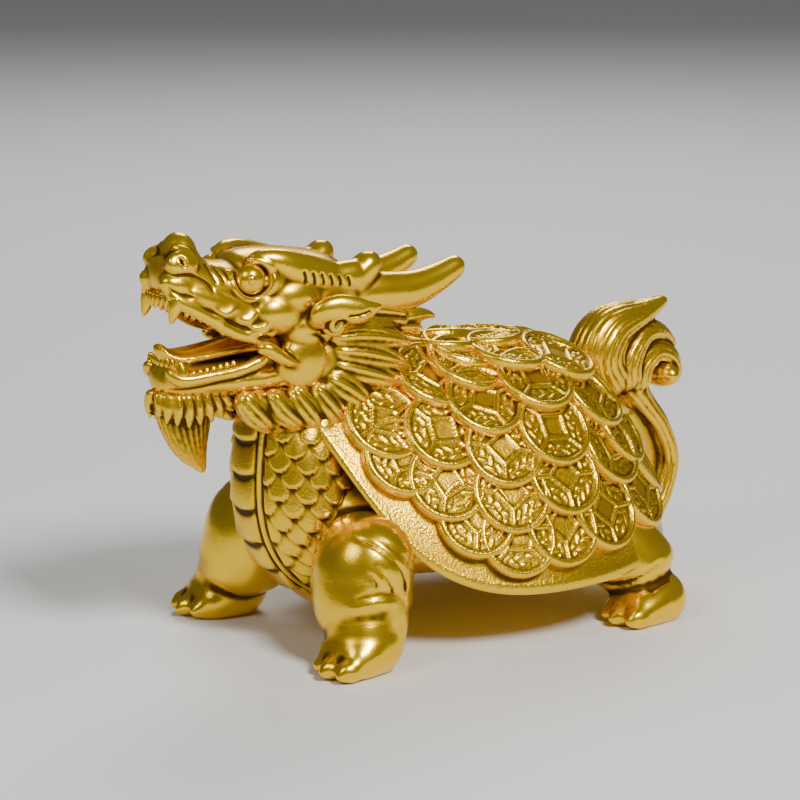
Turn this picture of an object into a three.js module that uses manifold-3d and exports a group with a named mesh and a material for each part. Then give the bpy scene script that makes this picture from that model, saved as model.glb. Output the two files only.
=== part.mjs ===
// A dragon turtle: a cast desk figure with a dragon's head, a turtle's body and a shell covered with round coins.
// Millimetres, +Z up. The head faces -Y, the figure's left side is +X, and the feet stand on Z = 0.
import * as THREE from "three";
import { mergeVertices } from "three/addons/utils/BufferGeometryUtils.js";
import Module from "manifold-3d";

// Driving dimensions
const length = 160; // from the nose to the back of the tail
const coinDiameter = 20.6;
const coinThickness = 2.6;
const coinRoot = 1.6; // how far a coin's body goes on below it into the shell
const coinLift = 1.9; // how far the middle of a coin's lower edge stands off the shell
const eyeDiameter = 6;
const hornTipDiameter = 5;
const simplification = 0.3;
const gold = 0xd9a21b;

// The pose and the carving are drawn in 160ths of the length.
const unit = length / 160;

const wasm = await Module();
wasm.setup();

const radians = THREE.MathUtils.degToRad;
const place = (x, y, z) => new THREE.Vector3(x, y, z).multiplyScalar(unit);

// A closed geometry as a solid for joining and cutting.
function solid(geometry) {
  const bare = geometry.clone();
  bare.deleteAttribute("normal");
  bare.deleteAttribute("uv");
  const merged = mergeVertices(bare, 1e-4);
  return new wasm.Manifold(
    new wasm.Mesh({
      numProp: 3,
      vertProperties: new Float32Array(merged.attributes.position.array),
      triVerts: new Uint32Array(merged.index.array),
    }),
  );
}

// The same geometry on the figure's other side, with its faces still pointing out.
function mirrored(geometry) {
  const other = geometry.clone().scale(-1, 1, 1);
  const index = other.index.array;
  for (let i = 0; i < index.length; i += 3) {
    [index[i + 1], index[i + 2]] = [index[i + 2], index[i + 1]];
  }
  return other;
}

// Moves every vertex of a unit sphere by a function of its position on it.
function shaped(around, along, move) {
  const geometry = new THREE.SphereGeometry(1, around, along);
  const position = geometry.attributes.position;
  const vertex = new THREE.Vector3();
  for (let i = 0; i < position.count; i += 1) {
    vertex.fromBufferAttribute(position, i);
    vertex.copy(move(vertex));
    position.setXYZ(i, vertex.x, vertex.y, vertex.z);
  }
  return geometry;
}

// An ellipsoid with its half-sizes along the axes, turned by degrees about X, Y and Z.
function blob(centre, halves, turn = [0, 0, 0], around = 12, along = 8) {
  const rotation = new THREE.Euler(...turn.map(radians));
  return shaped(around, along, (v) =>
    v.multiply(place(...halves)).applyEuler(rotation).add(place(...centre)),
  );
}

// How far a limb's section has opened at a share s of its path, from a point at each rounded end.
function opening(s, start, end) {
  const first = Math.max(0, 1 - s / start);
  const last = Math.max(0, 1 - (1 - s) / end);
  return Math.sqrt(Math.max(0, 1 - first * first) * Math.max(0, 1 - last * last));
}

// A tapered limb: an ellipse carried along a smooth path. Each station is [x, y, z, half-width, half-height].
function limb(stations, options = {}) {
  const { around = 10, along = 10, start = 0.12, end = 0.12, side = [1, 0, 0] } = options;
  const path = new THREE.CatmullRomCurve3(
    stations.map(([x, y, z]) => place(x, y, z)), false, "catmullrom", 0.5,
  );
  const sizes = new THREE.CatmullRomCurve3(
    stations.map(([, , , w, h]) => place(w, h, 0)), false, "catmullrom", 0.5,
  );
  const across = new THREE.Vector3(...side);
  return shaped(around, along, (v) => {
    const s = (1 - v.y) / 2;
    const tangent = path.getTangent(s);
    const sideways = across.clone().addScaledVector(tangent, -across.dot(tangent)).normalize();
    const upwards = new THREE.Vector3().crossVectors(tangent, sideways);
    const size = sizes.getPoint(s);
    const ring = Math.hypot(v.x, v.z) || 1;
    const open = opening(s, start, end);
    return path.getPoint(s)
      .addScaledVector(sideways, (v.x / ring) * size.x * open)
      .addScaledVector(upwards, (v.z / ring) * size.y * open);
  });
}

// The shell's top surface: angle is measured from the left side towards the tail, and level runs from
// 0 at the crown to 1 at the rim, which is low along the flanks and rises over the neck and the tail.
const shell = {
  halfWidth: 43.5, front: 63, back: 51.3, middle: 14.2, crown: 20.8, top: 69.4,
  flank: 15.1, overNeck: 63, overTail: 19.6, roundness: 2.62,
  edge: 0.985, neckCut: 0.065, rimRadius: 1.7,
};
function shellRim(angle) {
  const s = Math.sin(angle);
  const reach = s < 0 ? shell.front : shell.back;
  const end = s < 0 ? shell.overNeck : shell.overTail;
  const lift = (end - shell.flank) * Math.abs(s) ** (s < 0 ? 3.3 : 2.6);
  return new THREE.Vector3(shell.halfWidth * Math.cos(angle), shell.middle + reach * s, shell.flank + lift);
}
function shellSpot(angle, level) {
  const rim = shellRim(angle);
  return new THREE.Vector3(
    rim.x * level,
    shell.crown + (rim.y - shell.crown) * level,
    shell.top - (shell.top - rim.z) * Math.abs(level) ** shell.roundness,
  );
}
function shellPoint(angle, level) {
  const spot = shellSpot(angle, level);
  return place(spot.x, spot.y, spot.z);
}

// The level at which the shell ends: just short of the full oval, and less over the neck.
function shellEdge(angle) {
  const front = Math.min(Math.max((-Math.sin(angle) - 0.6) / 0.4, 0), 1);
  return shell.edge - shell.neckCut * front ** 1.5;
}

// The dome with its rolled rim, and an underside that ends inside the belly.
function shellBody() {
  const dome = 0.7; // share of the profile that is dome
  const roll = 0.14; // share that turns under
  return shaped(24, 12, (v) => {
    const angle = Math.atan2(-v.z, v.x);
    const s = Math.acos(THREE.MathUtils.clamp(v.y, -1, 1)) / Math.PI;
    if (s <= dome) return shellPoint(angle, (s / dome) * shellEdge(angle));
    const rim = shellSpot(angle, shellEdge(angle));
    const turn = Math.min(1, (s - dome) / roll) * Math.PI;
    const inwards = Math.max(0, (s - dome - roll) / (1 - dome - roll));
    const out = 1 + 0.035 * Math.sin(turn) - inwards;
    return place(
      rim.x * out,
      shell.middle + (rim.y - shell.middle) * out,
      rim.z - shell.rimRadius * (1 - Math.cos(turn)) + 3 * inwards,
    );
  });
}

// One coin: a disc laid like a roof tile, its upper edge sunk in the shell and its lower edge standing
// off it. Its lowest point is at this angle and level.
function coin(angle, level) {
  const edge = shellPoint(angle, level);
  const step = 0.02;
  const down = edge.clone().sub(shellPoint(angle, level - step));
  const round = shellPoint(angle + step, level).sub(shellPoint(angle - step, level));
  const out = new THREE.Vector3().crossVectors(round, down).normalize();
  if (out.z < 0) out.negate();
  let above = level;
  while (shellPoint(angle, above).distanceTo(edge) < coinDiameter) above -= 0.01;
  const upper = shellPoint(angle, above).addScaledVector(out, -0.6 * unit);
  edge.addScaledVector(out, coinLift);
  const lie = edge.clone().sub(upper).normalize();
  const across = new THREE.Vector3().crossVectors(out, lie).normalize();
  const face = new THREE.Vector3().crossVectors(lie, across);
  const centre = edge.addScaledVector(lie, -coinDiameter / 2);
  const turned = new THREE.Matrix4().makeBasis(across, face, lie).setPosition(centre);
  return coinBlank().applyMatrix4(turned);
}
function coinBlank() {
  return new THREE.CylinderGeometry(coinDiameter / 2, coinDiameter / 2, coinThickness + coinRoot, coinSides)
    .translate(0, -coinRoot / 2, 0);
}

// The left flank's coins from the crown down, each as [angle of its lowest point in degrees, level].
const coinSides = 10;
const coinRows = [
  [[-60, 0.4], [-12.6, 0.428], [41.4, 0.55]],
  [[-43.6, 0.515], [0, 0.613], [38.3, 0.714], [68, 0.74]],
  [[-55.6, 0.636], [-27.7, 0.675], [1, 0.767], [45, 0.827]],
  [[-58.9, 0.897], [-40.9, 0.804], [-19.4, 0.806], [29.5, 0.847], [60.5, 0.93], [77, 0.87]],
  [[-50, 0.932], [-36.5, 0.913], [0.5, 0.876], [39.4, 0.954]],
  [[-17.3, 0.901], [14.7, 0.956]],
  [[-27.2, 0.956], [-3, 0.967]],
  [[-15.8, 0.978]],
];
const middleCoins = [[-90, 0.4], [90, 0.6], [90, 0.95]];
function coins() {
  const flank = coinRows.flat().map(([angle, level]) => coin(radians(angle), level));
  const middle = middleCoins.map(([angle, level]) => coin(radians(angle), level));
  const crown = coinBlank().rotateX(Math.PI / 2).translate(0, (shell.crown - 4) * unit, (shell.top + 0.3) * unit);
  return [...flank, ...flank.map(mirrored), ...middle, crown];
}

function torso() {
  return [
    limb([
      [0, -44, 29, 15, 12], [0, -28, 30, 27, 15], [0, 8, 30, 36, 17], [0, 40, 29, 32, 15.5], [0, 66, 27, 16, 9],
    ], { around: 10, along: 7, start: 0.2, end: 0.2 }),
    limb([
      [0, -22, 20, 16.5, 13], [0, -36, 34, 16.4, 16], [0, -36.5, 50, 15.4, 16], [0, -36, 64, 12, 14.5], [0, -34, 80, 10, 12],
    ], { around: 12, along: 7, start: 0.15, end: 0.15 }),
  ];
}

// The six belly plates down the chest, each a lens that stands a little proud, and a cord along each side.
function chest() {
  const plates = Array.from({ length: 6 }, (_, i) => {
    const s = i / 5;
    const height = THREE.MathUtils.lerp(52, 19, s);
    const front = -47 - 3.6 * Math.sin(Math.PI * (0.25 + 0.6 * s)) + 7 * s ** 3;
    return blob([0, front, height], [6.4 - s, 4.8, 4.4], [-18 + 50 * s, 0, 0], 8, 4);
  });
  return plates;
}

function frontLeg() {
  return [
    limb([
      [19, -26, 28, 11, 10], [23.6, -34.5, 25.5, 13, 12], [24.6, -36.5, 19, 12.6, 12], [27.4, -36.8, 13, 10.4, 11.6], [30, -37, 7.5, 9.4, 10.6],
    ], { around: 10, along: 6, start: 0.3, end: 0.3 }),
    limb([
      [30, -30, 5.4, 8, 7.2], [30.4, -38, 5.8, 8.6, 7.6], [32, -45.5, 4.2, 8.8, 6.2], [33.2, -53, 2.2, 7.6, 4.2],
    ], { around: 8, along: 6, start: 0.3, end: 0.2 }),
    ...toes([33.5, -52, 2.6], 4.6, -6),
  ];
}

function rearLeg() {
  return [
    limb([
      [21, 31, 24, 11, 11], [26, 37.5, 19, 11.4, 11], [31, 43, 13, 10, 10], [33.6, 45.6, 8, 9, 9.6],
    ], { around: 9, along: 6, start: 0.3, end: 0.3 }),
    limb([
      [34.5, 53.5, 3.8, 7.4, 6.8], [35, 46, 4.8, 8.2, 7.2], [36, 39, 3.8, 8, 5.8], [36.8, 33, 2, 6.8, 4],
    ], { around: 8, along: 6, start: 0.3, end: 0.2 }),
    ...toes([36.8, 33.6, 2.6], 4.8, -4),
  ];
}

// Three toes side by side at the front of a foot.
function toes([x, y, z], spread, turn) {
  return [-1, 0, 1].map((side) =>
    blob([x + side * spread, y + Math.abs(side) * 1.6, z], [2.5, 3.8, 2.8], [0, 0, turn - side * 12], 6, 4),
  );
}

function skull() {
  return [
    blob([0, -36, 82], [13, 17, 13], [0, 0, 0], 9, 6),
    // muzzle and nose
    limb([
      [0, -40, 86, 11, 9], [0, -54, 87.5, 9.8, 8.6], [0, -65, 91, 8.6, 6.4], [0, -74, 94.2, 7, 5.2], [0, -78.4, 94.4, 4.6, 3.6],
    ], { around: 10, along: 8, start: 0.2, end: 0.1 }),
    blob([0, -71.5, 98.6], [5, 4.2, 5.8], [0, 0, 0], 9, 6),
    // forehead
    limb([
      [0, -58, 94, 6.6, 4], [0, -50, 94.6, 9.4, 4.6], [0, -36, 91.4, 10.5, 5.6], [0, -26, 87, 9, 5.6],
    ], { around: 10, along: 7, start: 0.15, end: 0.3 }),
    // lower jaw and chin
    limb([
      [0, -36, 71, 12.5, 8], [0, -48, 68.6, 11.6, 5], [0, -62, 68.4, 10, 4], [0, -72, 69.4, 8.2, 4.4], [0, -78, 71.6, 5, 4.4],
    ], { around: 10, along: 8, start: 0.25, end: 0.1 }),
    // tongue with its tip turned up
    limb([
      [0, -50, 76, 6, 2.4], [0, -60, 75.6, 6, 2], [0, -70, 74.8, 5.4, 1.8], [0, -75.4, 75.4, 4, 1.5], [0, -78, 78.4, 2, 1],
    ], { around: 8, along: 8, start: 0.1, end: 0.1 }),
  ];
}

// What the head has on its left side; the right side is its mirror image.
function headSide() {
  return [
    // rolled lips
    limb([
      [5.4, -77.4, 92.6, 1.8, 2.4], [8, -74, 89.6, 1.9, 2.2], [9.6, -66, 84, 1.9, 2.2], [10.6, -58, 79.6, 2, 2.2], [11.4, -51, 77.4, 1.6, 1.8],
    ], { around: 5, along: 6 }),
    limb([
      [4, -77.6, 73.4, 1.6, 1.5], [7.6, -75.4, 70.2, 1.6, 1.6], [9.6, -68, 70.6, 1.6, 1.6], [10.6, -60, 71.6, 1.7, 1.7], [11.2, -53, 74.4, 1.6, 1.8],
    ], { around: 5, along: 6 }),
    // nostril wing
    blob([4.4, -74, 96.6], [2.6, 3.6, 2.4], [10, 0, 0], 8, 5),
    // eye, its lid and the brow over it
    blob([9.2, -57, 93], [eyeDiameter / unit / 2, eyeDiameter / unit / 2, eyeDiameter / unit / 2], [0, 0, 0], 8, 6),
    limb([
      [8.4, -61.5, 94.6, 1.2, 1.3], [10.4, -57.5, 96.8, 1.5, 1.2], [11, -52.5, 94.4, 1.5, 1.4], [11, -49.6, 90.4, 1.2, 1.2],
    ], { around: 5, along: 5 }),
    limb([
      [5.4, -57.6, 96.6, 2.2, 2.4], [7.4, -52, 97.4, 2.8, 2.4], [9.2, -43, 94.6, 3, 2.8], [10, -34, 90.6, 3, 2.6], [10, -28, 89, 2.4, 2.4],
    ], { around: 7, along: 6, start: 0.06, end: 0.2 }),
    // cheeks and the jaw's corner
    blob([8.6, -50, 84], [5, 7.6, 5.4], [0, 0, 0], 8, 5),
    blob([9, -43.5, 80], [5, 6, 6], [0, 0, 0], 8, 5),
    blob([10.6, -44, 71.6], [4.2, 7, 6.6], [0, 0, 0], 8, 5),
    limb([
      [11.6, -57.6, 77.6, 1.2, 1], [13, -53.4, 74.8, 1.6, 1.7], [13.8, -50, 72.4, 1.4, 1.3], [14, -47, 71.4, 0.8, 0.7],
    ], { around: 5, along: 5 }),
    // ear
    limb([
      [12.6, -37.6, 80.6, 2, 2.6], [14.4, -40.6, 83.4, 2.2, 2.6], [16.4, -36, 85.4, 1.8, 2.6], [18.2, -30, 84.6, 1.5, 2], [19.4, -26.6, 84, 0.8, 0.8],
    ], { around: 5, along: 6 }),
    // horn with its tip and its short prong
    limb([
      [7, -34, 86, 4.4, 4.6], [8.6, -24, 85.6, 4, 4.2], [9.6, -12, 84.8, 3.5, 3.8], [10, -4, 88, 3.1, 3.3],
      [10, 3.4, 91.6, hornTipDiameter / unit / 2, hornTipDiameter / unit / 2],
    ], { around: 7, along: 8, start: 0.15, end: 0.08 }),
    limb([
      [9, -33, 89, 3.6, 3.2], [10.2, -27, 92.2, 2.9, 2.7], [11, -22, 94.8, 2.4, 2.3],
    ], { around: 7, along: 5, start: 0.2, end: 0.2 }),
    // fangs
    limb([[6.4, -76, 90.6, 1.6, 1.9], [6.6, -76.4, 87.6, 1.3, 1.6], [6.4, -77.6, 84.4, 0.5, 0.6]], { around: 5, along: 4 }),
    limb([[6.6, -75, 69.4, 1.3, 1.4], [6.8, -75, 72, 1, 1.1], [6.6, -75.6, 74.6, 0.4, 0.5]], { around: 5, along: 4 }),
  ];
}

// Locks of the mane. They stand in a fan about the jaw's corner, from under the chin round to the nape,
// and are shortest where they point down.
const maneLocks = 7;
function mane() {
  const locks = Array.from({ length: maneLocks }, (_, i) => {
    const turn = THREE.MathUtils.lerp(-152, 14, i / (maneLocks - 1));
    const reach = 18 + 9 * ((turn + 92) / 105) ** 2;
    const low = Math.sin(radians(Math.min(0, turn)));
    const at = (share, x, wide, thick) => [
      x,
      -40 + Math.cos(radians(turn)) * reach * share,
      71 + Math.sin(radians(turn)) * reach * share,
      wide, thick,
    ];
    return limb([
      at(0.2, 9, 3.4, 5), at(0.5, 12.4 + low, 3.8, 5.6), at(0.8, 13.2 + 1.6 * low, 2.8, 4), at(1.03, 12.4 + 2.4 * low, 0.6, 0.7),
    ], { around: 6, along: 5, start: 0.15, end: 0.05 });
  });
  return [blob([6, -32, 68], [9.5, 14, 13], [0, 0, 0], 9, 6), ...locks];
}

function beard() {
  return [
    limb([
      [0, -71, 67, 6, 8], [0, -70.5, 60, 5, 7], [0, -69, 53, 3.6, 4.6], [0, -66.4, 47.6, 1.6, 1.6], [0, -65.6, 45.8, 0.6, 0.6],
    ], { around: 10, along: 10, start: 0.1, end: 0.05 }),
  ];
}

// The tail: a stem that climbs the back of the shell, a fan of locks swept back over it, and a curl.
function tail() {
  return [
    limb([
      [0, 56, 17, 8, 6], [0, 69, 17, 6.5, 5], [0, 76.4, 29, 5, 3.6], [0, 73.6, 39, 4.8, 3.4], [0, 67.4, 46.6, 5.2, 4], [0, 61, 54, 6, 6],
    ], { around: 8, along: 9, start: 0.1, end: 0.1 }),
    limb([
      [0, 60, 50, 7, 7], [0, 53.6, 59, 7.8, 7.4], [0, 57, 66.4, 7, 6.6], [0, 67.4, 70, 4.6, 3.6], [0, 77, 73, 1, 1],
    ], { around: 8, along: 8, start: 0.15, end: 0.05 }),
    limb([
      [0, 62, 50, 7, 6], [0, 61, 58, 7.2, 6], [0, 66, 64.4, 6, 4.4], [0, 73, 64.6, 4, 2.8], [0, 80, 59.8, 1, 1],
    ], { around: 7, along: 7, start: 0.15, end: 0.05 }),
    limb([
      [0, 65, 49, 6.4, 5], [0, 65, 56, 6.4, 5], [0, 70, 60.2, 5.6, 3.6], [0, 76, 58.6, 5, 3], [0, 77.6, 54, 4.6, 2.6], [0, 74.6, 51.4, 4, 2.2],
    ], { around: 8, along: 9, start: 0.15, end: 0.1 }),
  ];
}

const oneSide = [...frontLeg(), ...rearLeg(), ...headSide(), ...mane()];
const forms = [
  ...torso(), shellBody(), ...coins(), ...chest(), ...skull(), ...beard(), ...tail(),
  ...oneSide, ...oneSide.map(mirrored),
];

// Everything below the surface that it stands on is cut off, so each foot has a flat sole. The casting is
// solid: of all the surfaces left by the joining, only the outside one is kept.
const ground = new THREE.BoxGeometry(2 * length, 2 * length, length).translate(0, 0, -length / 2);
const joined = wasm.Manifold.union(forms.map(solid)).subtract(solid(ground)).simplify(simplification);
const outside = joined.decompose().reduce((best, piece) => (piece.volume() > best.volume() ? piece : best));
const cast = outside.getMesh();
const body = new THREE.BufferGeometry()
  .setAttribute("position", new THREE.BufferAttribute(cast.vertProperties, 3))
  .setIndex(new THREE.BufferAttribute(cast.triVerts, 1));
body.computeBoundingBox();
body.translate(0, -(body.boundingBox.min.y + body.boundingBox.max.y) / 2, 0);
body.computeVertexNormals();

const figure = new THREE.Group();
const mesh = new THREE.Mesh(
  body,
  new THREE.MeshStandardMaterial({ color: gold, metalness: 0.9, roughness: 0.32 }),
);
mesh.name = "dragon_turtle";
figure.add(mesh);

export default figure;
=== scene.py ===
"""A dragon turtle desk figure: its carved skin, its coins and its gold paint over the plain casting.

Forms are drawn in millimetres in the figure's own frame, x to its left, y to its tail and z up, and are
turned into metres when a mesh is made. The left side is drawn and the right side is its mirror image.
"""

import math

import bpy
import numpy as np
from bpy.props import FloatProperty, FloatVectorProperty, PointerProperty
from mathutils import Matrix, Vector


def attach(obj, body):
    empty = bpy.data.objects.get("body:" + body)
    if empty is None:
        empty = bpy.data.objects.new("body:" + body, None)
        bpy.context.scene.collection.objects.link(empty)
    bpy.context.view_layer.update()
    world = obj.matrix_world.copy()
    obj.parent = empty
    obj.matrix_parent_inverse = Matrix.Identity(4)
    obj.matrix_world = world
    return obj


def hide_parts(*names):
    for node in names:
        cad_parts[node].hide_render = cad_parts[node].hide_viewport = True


bl_info = {
    "name": "Dragon Turtle Figure",
    "version": (1, 0, 0),
    "blender": (4, 5, 0),
    "location": "View3D > Sidebar > Figure",
    "description": "Makes a gold-painted dragon turtle desk figure, piece by piece",
    "category": "Object",
}

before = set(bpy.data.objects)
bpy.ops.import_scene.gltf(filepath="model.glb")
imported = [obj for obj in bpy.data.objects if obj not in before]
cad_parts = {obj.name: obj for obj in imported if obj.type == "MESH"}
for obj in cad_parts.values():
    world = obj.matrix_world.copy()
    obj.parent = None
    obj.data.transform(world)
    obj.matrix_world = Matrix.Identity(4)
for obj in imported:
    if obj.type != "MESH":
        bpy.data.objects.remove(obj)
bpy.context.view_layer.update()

MM = 0.001
# From the drawing to the frame, whose middle is the middle of the casting's box.
DRAWING_SHIFT = np.array([0.0, -0.95, 0.0])
CASTING = "dragon_turtle"
# The cells of a melted skin by piece, and the cells across one coin by group.
SKIN_CELL = {"body": 0.8, "head": 0.42, "mane": 0.43, "tail": 0.4}
COIN_CELLS = {"coins_left": 46, "coins_right": 36, "coins_middle": 46}


# Sizes and colours

class FigureSizes(bpy.types.PropertyGroup):
    """Sizes that can be changed before the pieces are made."""

    coin_diameter: FloatProperty(
        name="Coin diameter", description="Across one coin on the shell",
        default=0.0206, min=0.01, max=0.03, unit="LENGTH", precision=4,
    )
    coin_relief: FloatProperty(
        name="Coin relief", description="How far a coin's rim stands over its ground",
        default=0.00075, min=0.0, max=0.002, unit="LENGTH", precision=5,
    )
    scale_width: FloatProperty(
        name="Neck scale width", description="Across one scale on the side of the neck",
        default=0.0066, min=0.004, max=0.01, unit="LENGTH", precision=4,
    )
    plate_height: FloatProperty(
        name="Chest plate height", description="From one chest plate's lower edge to the next",
        default=0.0084, min=0.004, max=0.02, unit="LENGTH", precision=4,
    )
    strand_depth: FloatProperty(
        name="Strand depth", description="How deep the grooves between strands of hair are",
        default=0.0006, min=0.0, max=0.002, unit="LENGTH", precision=5,
    )


class FigureColours(bpy.types.PropertyGroup):
    """Colours of the paint and of the stage."""

    gold: FloatVectorProperty(
        name="Gold", description="The paint on open surfaces",
        default=(0.84, 0.46, 0.006), size=3, min=0.0, max=1.0, subtype="COLOR",
    )
    worn_gold: FloatVectorProperty(
        name="Polished gold", description="The paint where ridges are rubbed bright",
        default=(0.94, 0.60, 0.02), size=3, min=0.0, max=1.0, subtype="COLOR",
    )
    # The brown in the hollows is the wash with painted shade added to it.
    hollow_brown: FloatVectorProperty(
        name="Hollow brown", description="The dark wash left in grooves",
        default=(0.09, 0.040, 0.002), size=3, min=0.0, max=1.0, subtype="COLOR",
    )
    floor: FloatVectorProperty(
        name="Floor", description="The studio floor",
        default=(0.80, 0.79, 0.77), size=3, min=0.0, max=1.0, subtype="COLOR",
    )


# Surfaces on a grid

def curve(points, share):
    """The Catmull-Rom cubic through the points at shares 0 to 1 of their list, and its direction."""
    points = np.asarray(points, float)
    ends = np.vstack([2 * points[0] - points[1], points, 2 * points[-1] - points[-2]])
    place = np.clip(share, 0.0, 1.0) * (len(points) - 1)
    first = np.minimum(place.astype(int), len(points) - 2)
    f = (place - first)[:, None]
    a, b, c, d = (ends[first + k] for k in range(4))
    square = 2 * a - 5 * b + 4 * c - d
    cube = 3 * b - a - 3 * c + d
    position = 0.5 * (2 * b + (c - a) * f + square * f**2 + cube * f**3)
    heading = 0.5 * ((c - a) + 2 * square * f + 3 * cube * f**2)
    return position, heading


def unit(vectors):
    """Vectors divided by their lengths."""
    return vectors / np.maximum(np.linalg.norm(vectors, axis=-1, keepdims=True), 1e-12)


def step(low, high, value):
    """0 below low, 1 above high, and the cubic 3t^2 - 2t^3 between them."""
    t = np.clip((value - low) / (high - low), 0.0, 1.0)
    return t * t * (3 - 2 * t)


def bands(rings):
    """Triangles between each ring of point numbers and the next, from a grid with one ring a row."""
    beside = np.roll(rings, -1, axis=1)
    return np.vstack([
        np.stack([rings[:-1], beside[:-1], beside[1:]], -1).reshape(-1, 3),
        np.stack([rings[:-1], beside[1:], rings[1:]], -1).reshape(-1, 3),
    ])


def fan(ring, point):
    """Triangles from each edge of a ring of point numbers to one point."""
    return np.stack([ring, np.full(len(ring), point), np.roll(ring, -1)], -1)


def shut(points):
    """A closed form from a grid of rows that run round: the first and last rows become a point each."""
    rows, columns = points.shape[:2]
    vertices = np.vstack([points[1:-1].reshape(-1, 3), points[:1].mean(1), points[-1:].mean(1)])
    rings = np.arange((rows - 2) * columns).reshape(rows - 2, columns)
    ends = [fan(rings[0], len(vertices) - 2), fan(rings[-1], len(vertices) - 1)[:, ::-1]]
    return outward(vertices, np.vstack([bands(rings), *ends]))


def outward(points, triangles):
    """The same closed form with its faces pointing out, told by the sign of its volume."""
    a, b, c = (points[triangles[:, k]] for k in range(3))
    if np.einsum("ij,ij->", a, np.cross(b, c)) < 0:
        triangles = triangles[:, ::-1]
    return points, triangles


def opening(share, start, end):
    """How far a limb's section has opened at each share: a quarter round at both ends."""
    first = np.clip(1 - share / start, 0, 1)
    last = np.clip(1 - (1 - share) / end, 0, 1)
    return np.sqrt((1 - first**2) * (1 - last**2))


def sections(stations, share):
    """A path's sections at each share: their middles, half-sizes and the two directions they lie in."""
    stations = np.asarray(stations, float)
    middle, heading = curve(stations[:, :3], share)
    sizes = curve(stations[:, 3:], share)[0]
    heading = unit(heading)
    across = unit(np.array([1.0, 0, 0]) - heading * heading[:, :1])
    return middle, sizes, across, np.cross(heading, across)


def polar_grid(along, around):
    """Shares from 0 to 1 down the rows of a grid, and turns round its columns."""
    return np.meshgrid(np.linspace(0, 1, along + 1), 2 * np.pi * np.arange(around) / around, indexing="ij")


def limb(stations, around=40, along=48, start=0.12, end=0.12, relief=None):
    """An ellipse carried along a smooth path. Each station is x, y, z, half-width across and half-height;
    relief adds millimetres to both halves by the section's turn and share."""
    share = (1 - np.cos(np.pi * np.linspace(0, 1, along + 1))) / 2
    middle, sizes, across, upwards = sections(stations, share)
    turn = 2 * np.pi * np.arange(around) / around
    extra = relief(turn[None], share[:, None]) if relief else 0.0
    swell = opening(share, start, end)[:, None]
    wide = (sizes[:, :1] + extra) * np.cos(turn) * swell
    high = (sizes[:, 1:] + extra) * np.sin(turn) * swell
    return shut(middle[:, None] + across[:, None] * wide[..., None] + upwards[:, None] * high[..., None])


def blob(centre, halves, turn=0.0, around=32, along=24):
    """An ellipsoid with its half-sizes along the axes, tipped by degrees about X."""
    share, round_ = polar_grid(along, around)
    wide = np.sin(np.pi * share)
    points = np.stack([wide * np.cos(round_), wide * np.sin(round_), np.cos(np.pi * share)], -1) * halves
    c, s = math.cos(math.radians(turn)), math.sin(math.radians(turn))
    return shut(points @ np.array([[1, 0, 0], [0, c, s], [0, -s, c]]) + centre)


def strands(count, depth, twist=0.0):
    """Relief of strands along a lock: rounded ridges with a sharp groove between them."""
    def relief(turn, share):
        return depth * (np.abs(np.cos(count * turn / 2 + twist * share)) ** 0.8 - 0.6)
    return relief


def mirrored(form):
    """A form's mirror image on the figure's right side, with its faces still pointing out."""
    points, triangles = form
    return points * [-1, 1, 1], triangles[:, ::-1]


def both_sides(forms):
    """Forms with their mirror images."""
    return list(forms) + [mirrored(form) for form in forms]


def joined(forms):
    """Several forms in one list of points and one of faces."""
    starts = np.cumsum([0] + [len(points) for points, _ in forms[:-1]])
    points = np.vstack([points for points, _ in forms])
    faces = np.vstack([faces + start for (_, faces), start in zip(forms, starts)])
    return points, faces


# Work on a skin of points and faces

def melted(forms, cell):
    """Overlapping closed forms melted into one skin of square cells by a voxel remesh."""
    points, triangles = joined(forms)
    mesh = bpy.data.meshes.new("melting")
    mesh.from_pydata((points * MM).tolist(), [], triangles.tolist())
    lump = bpy.data.objects.new("melting", mesh)
    bpy.context.collection.objects.link(lump)
    remesh = lump.modifiers.new("melt", "REMESH")
    remesh.mode = "VOXEL"
    remesh.voxel_size = cell * MM
    skin = lump.evaluated_get(bpy.context.evaluated_depsgraph_get()).to_mesh()
    points = np.empty(len(skin.vertices) * 3)
    skin.vertices.foreach_get("co", points)
    corners = np.empty(len(skin.loops), dtype=int)
    skin.loops.foreach_get("vertex_index", corners)
    bpy.data.objects.remove(lump)
    bpy.data.meshes.remove(mesh)
    return points.reshape(-1, 3) / MM, corners.reshape(-1, 4)


def normals_of(points, faces):
    """Each point's direction out: the sum of its faces' diagonal cross products, made one long."""
    square = np.cross(points[faces[:, 2]] - points[faces[:, 0]], points[faces[:, -1]] - points[faces[:, 1]])
    corners = faces.shape[1]
    total = [np.bincount(faces.ravel(), np.repeat(square[:, k], corners), len(points)) for k in range(3)]
    return unit(np.stack(total, 1))


def neighbour_mean(values, faces):
    """The mean of each point's neighbours along face edges."""
    near = faces.ravel()
    far = np.roll(faces, -1, axis=1).ravel()
    start = np.concatenate([near, far])
    end = np.concatenate([far, near])
    count = np.maximum(np.bincount(start, minlength=len(values)), 1)
    total = [np.bincount(start, values[end, k], len(values)) for k in range(values.shape[1])]
    return np.stack(total, 1) / count[:, None]


def relaxed(points, faces, rounds, share=0.5):
    """A skin smoothed by moving each point a share of the way to its neighbours' mean."""
    for _ in range(rounds):
        points = points + share * (neighbour_mean(points, faces) - points)
    return points


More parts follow.
